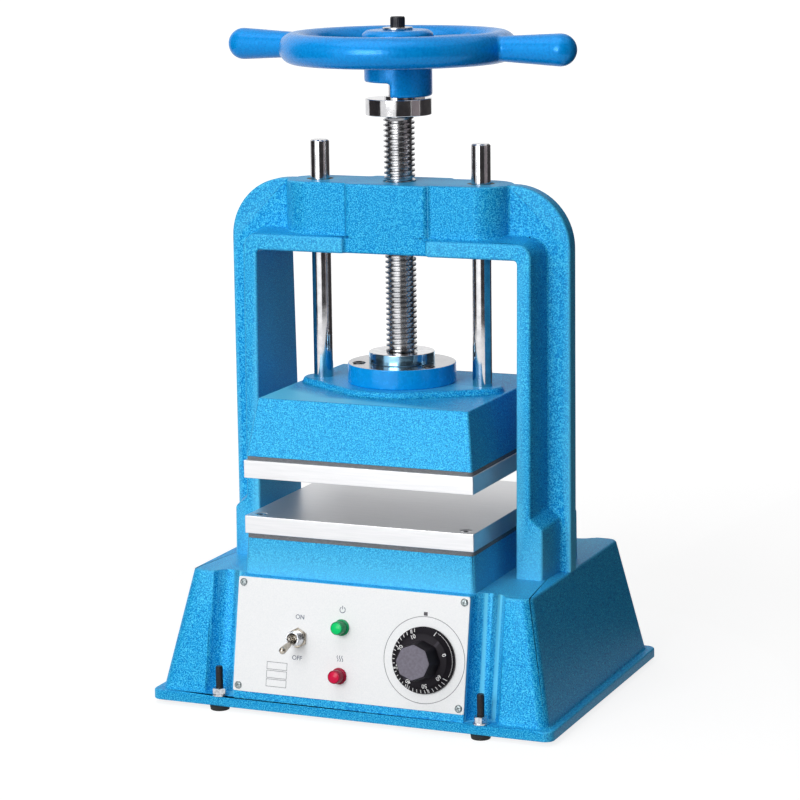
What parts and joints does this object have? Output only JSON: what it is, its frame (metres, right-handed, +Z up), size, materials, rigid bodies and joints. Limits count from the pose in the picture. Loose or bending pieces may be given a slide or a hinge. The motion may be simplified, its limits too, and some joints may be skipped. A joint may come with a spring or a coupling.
{
  "type": "rubber mold vulcanizer",
  "caption": "Bench press that vulcanizes rubber moulds between two heated platens, closed by a hand wheel on a power screw, with a sloping control panel.",
  "frame": {"origin": "on the screw axis, at the height of the table under the rubber feet, which is the middle of the whole outline's underside", "axes": "+Z up along the screw, -Y towards the control panel, +X to the right seen from the front"},
  "size_m": [0.3448, 0.2918, 0.5482],
  "materials": {
    "hammertone_blue": "blue hammertone enamel on cast aluminium",
    "smooth_blue": "smooth glossy blue enamel with a turned bare top",
    "ground_aluminium": "ground",
    "polished_steel": "polished",
    "machined_steel": "turned",
    "zinc_hardware": "bright zinc",
    "black_oxide": "black oxide",
    "panel_white": "white enamel with printed lines",
    "dial_black": "black phenolic",
    "knob_grey": "satin grey face on black grip",
    "lens_green": "faceted translucent green",
    "lens_red": "faceted translucent red",
    "rubber_black": "moulded",
    "bronze": "machined",
    "gasket_grey": "heat board",
    "mineral_board": "pressed mineral fibre",
    "cast_heater": "as cast",
    "sheet_steel": "zinc sheet",
    "copper_tube": "drawn"
  },
  "bodies": {
    "frame": {"base_casting": "hammertone_blue", "bottom_cover": "sheet_steel", "cover_screws": "zinc_hardware", "rubber_feet": "rubber_black", "foot_studs": "black_oxide", "foot_washers": "zinc_hardware", "foot_nuts": "zinc_hardware", "control_panel": "panel_white", "panel_screws": "zinc_hardware", "switch_body": "zinc_hardware", "switch_nut": "polished_steel", "lamp_bezels": "zinc_hardware", "green_lens": "lens_green", "red_lens": "lens_red", "lamp_bodies": "dial_black", "thermostat_body": "sheet_steel", "thermostat_bulb": "copper_tube", "terminal_block": "dial_black", "inlet_gland": "rubber_black", "deck_grommet": "rubber_black", "lower_housing": "hammertone_blue", "lower_housing_bolts": "zinc_hardware", "lower_insulation": "mineral_board", "lower_heater": "cast_heater", "lower_gasket": "gasket_grey", "lower_platen": "ground_aluminium", "lower_platen_screws": "machined_steel", "arch_frame": "hammertone_blue", "arch_bolts": "zinc_hardware", "arch_bolt_washers": "zinc_hardware", "screw_nut": "bronze", "guide_bushing_left": "bronze", "guide_bushing_right": "bronze"},
    "carriage": {"upper_housing": "hammertone_blue", "housing_grommet": "rubber_black", "upper_insulation": "mineral_board", "upper_heater": "cast_heater", "upper_gasket": "gasket_grey", "upper_platen": "ground_aluminium", "upper_platen_screws": "machined_steel", "guide_rod_left": "polished_steel", "guide_rod_right": "polished_steel", "thrust_washer": "machined_steel", "screw_retainer": "smooth_blue", "retainer_ring": "polished_steel", "retainer_screws": "black_oxide"},
    "screw": {"power_screw": "machined_steel", "drive_collar": "polished_steel", "collar_pin": "machined_steel", "wheel_washer": "zinc_hardware", "wheel_cap_screw": "black_oxide"},
    "wheel": {"handwheel": "hammertone_blue"},
    "toggle": {"toggle_lever": "polished_steel"},
    "dial": {"dial_shaft": "machined_steel", "dial_skirt": "dial_black", "knob_grip": "knob_grey"}
  },
  "joints": [
    {"name": "platen_travel", "type": "slide", "parent": "frame", "child": "carriage", "axis": [0, 0, 1], "range_m": [-0.0307, 0.08]},
    {"name": "screw_turn", "type": "hinge", "parent": "carriage", "child": "screw", "pos_m": [0, 0, 0.3], "axis": [0, 0, 1], "range_deg": [-2611.2, 6803.6]},
    {"name": "wheel_swing", "type": "hinge", "parent": "screw", "child": "wheel", "pos_m": [0, 0, 0.5244], "axis": [0, 0, 1], "range_deg": [-167.5, 21.5]},
    {"name": "toggle_flip", "type": "hinge", "parent": "frame", "child": "toggle", "pos_m": [-0.0448, -0.1188, 0.06488], "axis": [-1, 0, 0], "range_deg": [0, 38]},
    {"name": "dial_turn", "type": "hinge", "parent": "frame", "child": "dial", "pos_m": [0.064, -0.1152, 0.0567], "axis": [0, -0.9839, 0.1785], "range_deg": [-30, 270]}
  ],
  "couplings": [
    {"joint": "screw_turn", "follows": "platen_travel", "rad_per_m": 1484.2}
  ]
}
